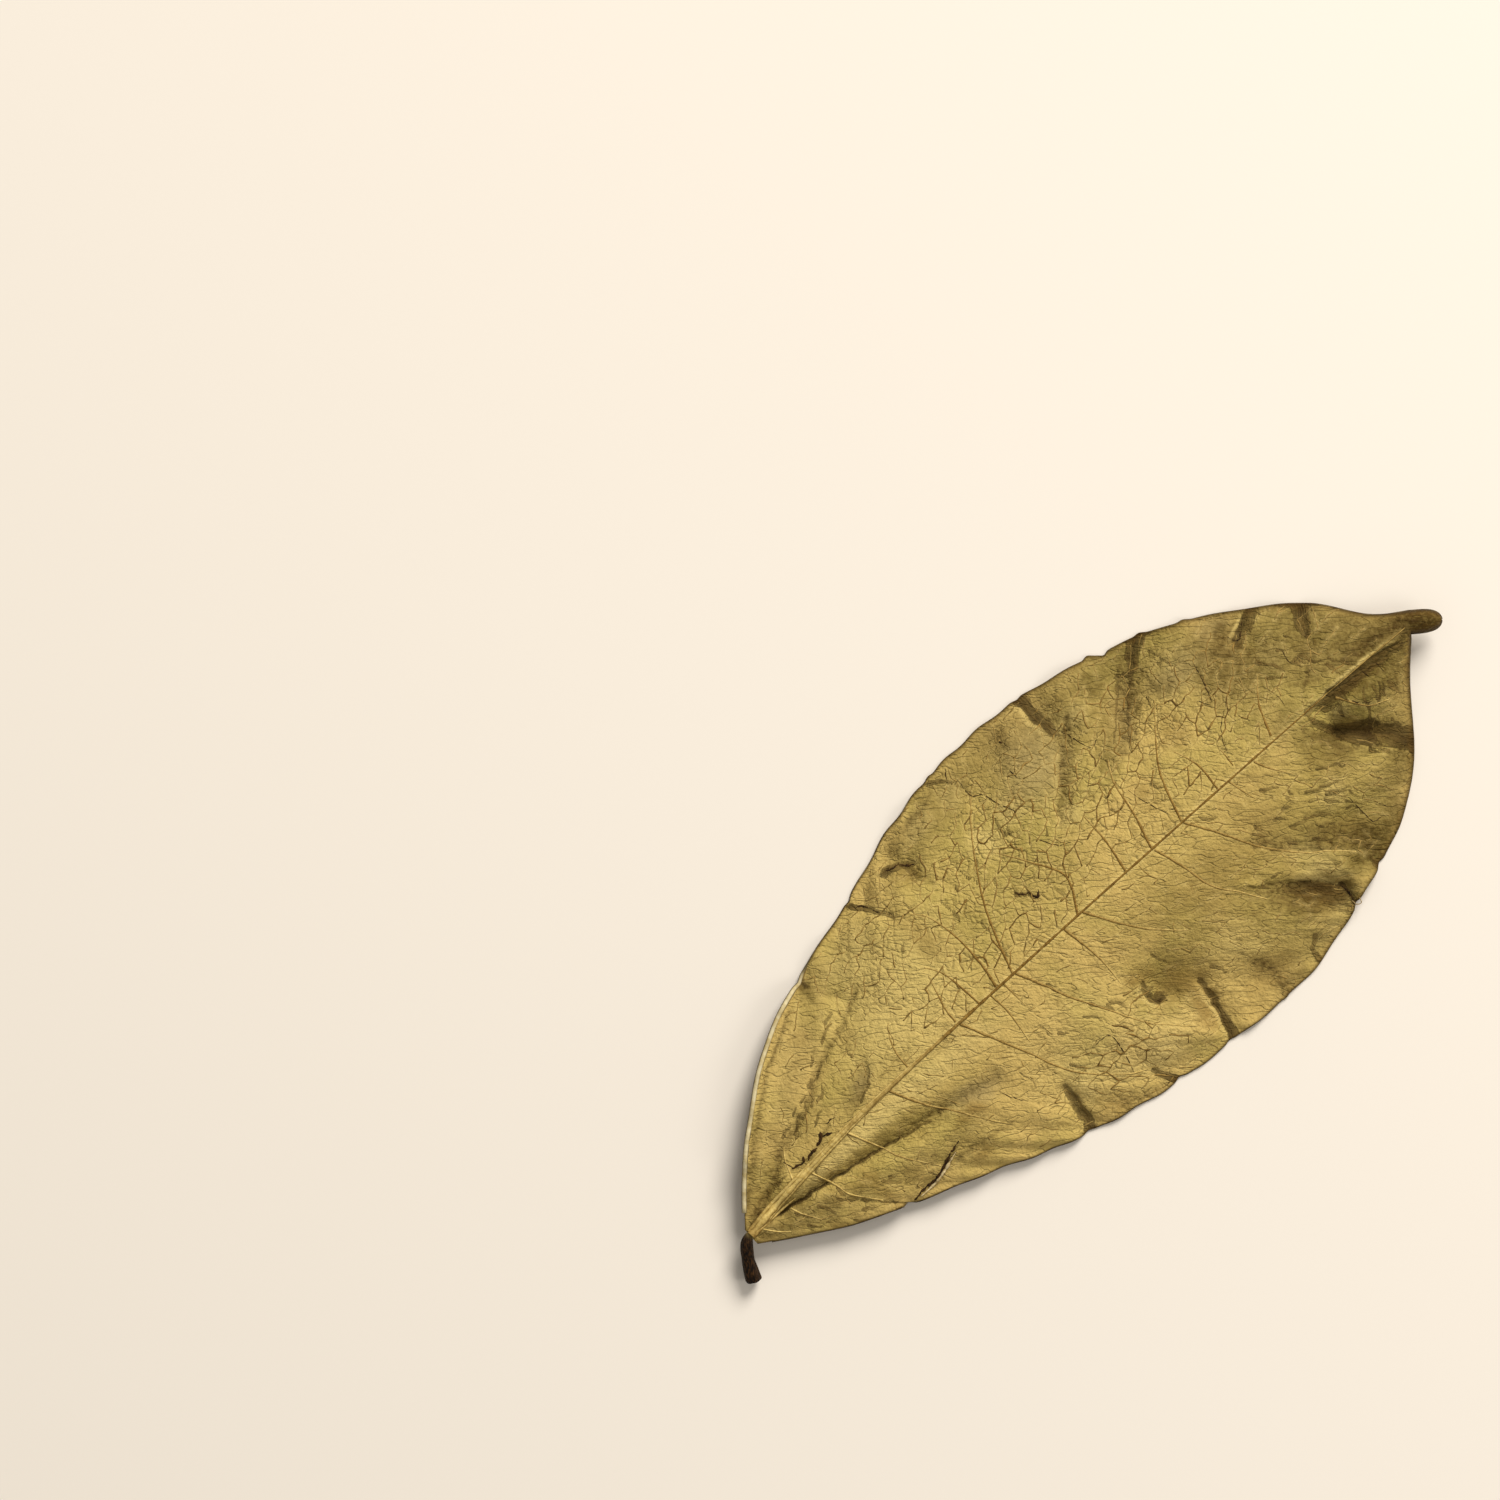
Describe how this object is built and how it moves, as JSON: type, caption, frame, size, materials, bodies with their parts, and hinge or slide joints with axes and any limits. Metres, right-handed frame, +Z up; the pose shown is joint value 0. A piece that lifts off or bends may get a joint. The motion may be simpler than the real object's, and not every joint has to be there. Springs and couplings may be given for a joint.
{
  "type": "dried soursop leaf",
  "caption": "Dried elliptic leaf lying underside up: arched, creased blade with raised midrib, side veins and net, rolled drip tip and short cut stalk, for decor, still life or set dressing.",
  "frame": {"origin": "on the ground under the middle of the leaf's bounding box", "axes": "+X from the stalk to the drip tip along the blade, +Z up out of the underside of the leaf, which faces up as it lies"},
  "size_m": [0.1451, 0.0612, 0.008],
  "materials": {
    "dried_leaf": "thin dry leathery leaf, olive tan with brown veins and edges, slightly satin"
  },
  "bodies": {
    "root": {"soursop_leaf": "dried_leaf"}
  },
  "joints": []
}
